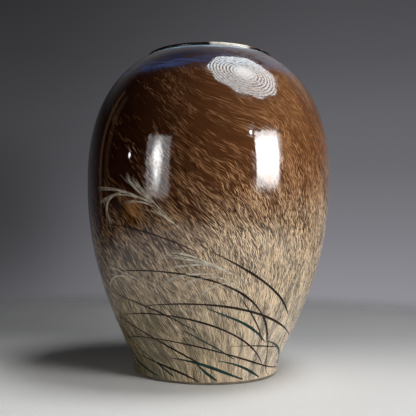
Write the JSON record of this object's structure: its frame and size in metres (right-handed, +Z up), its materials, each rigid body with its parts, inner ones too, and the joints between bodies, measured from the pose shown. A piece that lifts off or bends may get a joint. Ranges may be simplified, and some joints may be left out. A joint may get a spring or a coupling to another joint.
{
  "type": "stoneware vase",
  "caption": "Tall ovoid stoneware vase on a low turned foot with a small rolled lip, brown-to-tan glazes and brushed grass round the body.",
  "frame": {"origin": "centre of the face that the foot rests on", "axes": "+Z up along the vase's axis, -Y towards the side with the main tuft of grass"},
  "size_m": [0.231, 0.2312, 0.3],
  "materials": {
    "bare_clay": "unglazed fired stoneware, matt and slightly gritty",
    "clay_body": "fired stoneware under glaze",
    "liner_glaze": "glossy dark brown glaze",
    "tan_glaze": "satin tan glaze with fine brushed hairs",
    "brown_glaze": "glossy brown glaze with fine tan brushed hairs",
    "blue_glaze": "glossy opalescent blue over brown",
    "lip_glaze": "glossy near-black brown",
    "dark_slip": "glazed dark brown brushwork",
    "green_slip": "glazed deep green brushwork",
    "pale_slip": "glazed off-white hair-fine brushwork"
  },
  "bodies": {
    "root": {"foot_ring": "bare_clay", "base_floor": "bare_clay", "heel": "clay_body", "lower_wall": "clay_body", "upper_wall": "clay_body", "lip_ring": "clay_body", "liner_glaze": "liner_glaze", "tan_glaze": "tan_glaze", "brown_glaze": "brown_glaze", "shoulder_glaze": "blue_glaze", "lip_glaze": "lip_glaze", "dark_blades": "dark_slip", "green_blades": "green_slip", "seed_heads": "pale_slip"}
  },
  "joints": []
}
